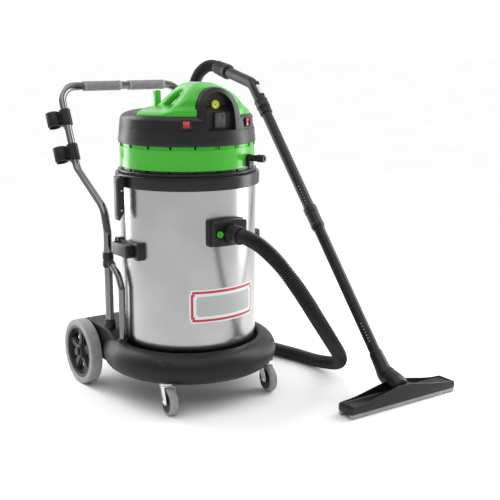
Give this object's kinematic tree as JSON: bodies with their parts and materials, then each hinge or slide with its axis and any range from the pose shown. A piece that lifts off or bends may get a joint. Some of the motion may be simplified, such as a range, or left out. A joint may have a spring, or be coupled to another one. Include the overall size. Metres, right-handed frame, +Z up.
{
  "type": "shop vacuum",
  "caption": "Wet and dry vacuum cleaner: steel tank on a castered trolley, lift-off motor head, push handle, hose, bent wand and floor nozzle.",
  "frame": {"origin": "on the floor, under the middle of the box that holds everything but the hose", "axes": "+Z up, the inlet and the switches face -Y, the push handle is at +Y, and the wand stands at +X"},
  "size_m": [0.91, 1.2011, 0.9823],
  "materials": {
    "base_black": "satin moulded",
    "band_black": "satin gloss",
    "trim_black": "satin",
    "grip_grey": "ribbed, matte",
    "wheel_grey": "matte",
    "zinc": "zinc plated",
    "steel_tank": "polished stainless",
    "handle_chrome": "polished",
    "head_black": "satin gloss",
    "head_green": "gloss",
    "switch_red": "gloss, translucent",
    "gauge_yellow": "gloss",
    "flap_grey": "satin",
    "gasket": "matte foam rubber",
    "motor_metal": "cast",
    "filter_paper": "pleated paper",
    "float_red": "satin",
    "hose_black": "corrugated, satin",
    "slide_grey": "satin",
    "strip_grey": "matte"
  },
  "bodies": {
    "chassis": {"trolley_base": "base_black", "rear_axle": "zinc", "tank_shell": "steel_tank", "tank_rim_band": "band_black", "tank_handle_left": "trim_black", "tank_handle_right": "trim_black", "inlet_box": "base_black", "inlet_deflector": "trim_black", "hose_cuff_inlet": "trim_black", "latch_bracket_left": "trim_black", "latch_bracket_right": "trim_black", "push_handle_bar": "handle_chrome", "handle_grip_left": "grip_grey", "handle_grip_right": "grip_grey", "foot_collar_left": "trim_black", "foot_collar_right": "trim_black", "upright_clamp_left": "trim_black", "upright_clamp_right": "trim_black", "frame_brace_left": "handle_chrome", "frame_brace_right": "handle_chrome", "tool_clip_upper": "trim_black", "tool_clip_lower": "trim_black", "caster_stem_left": "zinc", "caster_stem_right": "zinc", "nozzle_body": "base_black", "nozzle_strip_front": "strip_grey", "nozzle_strip_rear": "strip_grey", "hose": "hose_black"},
    "rear_wheel_left": {"wheel_hub_left": "trim_black", "wheel_tyre_left": "wheel_grey"},
    "caster_left": {"caster_fork_left": "zinc"},
    "caster_roller_left": {"caster_wheel_left": "wheel_grey"},
    "latch_left": {"latch_lever_left": "trim_black"},
    "switch_left": {"switch_rocker_left": "switch_red"},
    "rear_wheel_right": {"wheel_hub_right": "trim_black", "wheel_tyre_right": "wheel_grey"},
    "caster_right": {"caster_fork_right": "zinc"},
    "caster_roller_right": {"caster_wheel_right": "wheel_grey"},
    "latch_right": {"latch_lever_right": "trim_black"},
    "switch_right": {"switch_rocker_right": "switch_red"},
    "inlet_button": {"inlet_release_button": "head_green"},
    "motor_head": {"head_flange": "band_black", "head_gasket": "gasket", "cooling_ring": "head_green", "head_housing": "head_black", "top_cover": "head_green", "suction_gauge": "gauge_yellow", "cable_gland": "trim_black", "suction_motor_left": "motor_metal", "suction_motor_right": "motor_metal", "filter_cage": "trim_black", "filter_cartridge": "filter_paper"},
    "float": {"float_valve": "float_red"},
    "flap": {"socket_flap": "flap_grey"},
    "wand": {"wand_lower_tube": "trim_black", "wand_upper_tube": "trim_black", "wand_grip": "trim_black", "hose_cuff_wand": "trim_black", "nozzle_elbow": "base_black"},
    "airflow_control": {"airflow_slide": "slide_grey"}
  },
  "joints": [
    {"name": "rear_wheel_left_spin", "type": "hinge", "parent": "chassis", "child": "rear_wheel_left", "pos_m": [-0.43045, 0.22435, 0.1005], "axis": [1, 0, 0], "continuous": true},
    {"name": "caster_left_swivel", "type": "hinge", "parent": "chassis", "child": "caster_left", "pos_m": [-0.34795, -0.15315, 0.085], "axis": [0, 0, 1], "continuous": true},
    {"name": "caster_left_roll", "type": "hinge", "parent": "caster_left", "child": "caster_roller_left", "pos_m": [-0.35073, -0.17296, 0.04], "axis": [0.9903, -0.1392, 0], "continuous": true},
    {"name": "latch_left_lever", "type": "hinge", "parent": "chassis", "child": "latch_left", "pos_m": [-0.40195, 0.00485, 0.66], "axis": [0, 1, 0], "range_deg": [0, 100]},
    {"name": "rear_wheel_right_spin", "type": "hinge", "parent": "chassis", "child": "rear_wheel_right", "pos_m": [0.07955, 0.22435, 0.1005], "axis": [1, 0, 0], "continuous": true},
    {"name": "caster_right_swivel", "type": "hinge", "parent": "chassis", "child": "caster_right", "pos_m": [-0.00295, -0.15315, 0.085], "axis": [0, 0, 1], "continuous": true},
    {"name": "caster_right_roll", "type": "hinge", "parent": "caster_right", "child": "caster_roller_right", "pos_m": [-0.00573, -0.17296, 0.04], "axis": [0.9903, -0.1392, 0], "continuous": true},
    {"name": "latch_right_lever", "type": "hinge", "parent": "chassis", "child": "latch_right", "pos_m": [0.05105, 0.00485, 0.66], "axis": [0, -1, 0], "range_deg": [0, 100]},
    {"name": "motor_head_lift", "type": "slide", "parent": "chassis", "child": "motor_head", "axis": [0, 0, 1], "range_m": [0, 0.35]},
    {"name": "float_rise", "type": "slide", "parent": "motor_head", "child": "float", "axis": [0, 0, 1], "range_m": [0, 0.05]},
    {"name": "switch_left_rock", "type": "hinge", "parent": "motor_head", "child": "switch_left", "pos_m": [-0.2739, -0.15707, 0.8178], "axis": [0.8545, -0.5195, 0], "range_deg": [-8, 8]},
    {"name": "switch_right_rock", "type": "hinge", "parent": "motor_head", "child": "switch_right", "pos_m": [-0.077, -0.15707, 0.8178], "axis": [0.8545, 0.5195, 0], "range_deg": [-8, 8]},
    {"name": "socket_flap_lift", "type": "hinge", "parent": "motor_head", "child": "flap", "pos_m": [-0.17545, -0.17445, 0.847], "axis": [-1, 0, 0], "range_deg": [0, 90], "stiffness_Nm_per_rad": 0.03, "springref_deg": -5.73},
    {"name": "inlet_button_press", "type": "slide", "parent": "chassis", "child": "inlet_button", "axis": [0, 1, 0], "range_m": [0, 0.004], "stiffness_N_per_m": 600, "springref_m": -0.002},
    {"name": "wand_swivel", "type": "hinge", "parent": "chassis", "child": "wand", "pos_m": [0.25005, -0.4281, 0.06839], "axis": [0, 0.9489, 0.3156], "range_deg": [-15, 15]},
    {"name": "airflow_slide_move", "type": "slide", "parent": "wand", "child": "airflow_control", "axis": [0, 0.6381, 0.77], "range_m": [0, 0.012]}
  ]
}
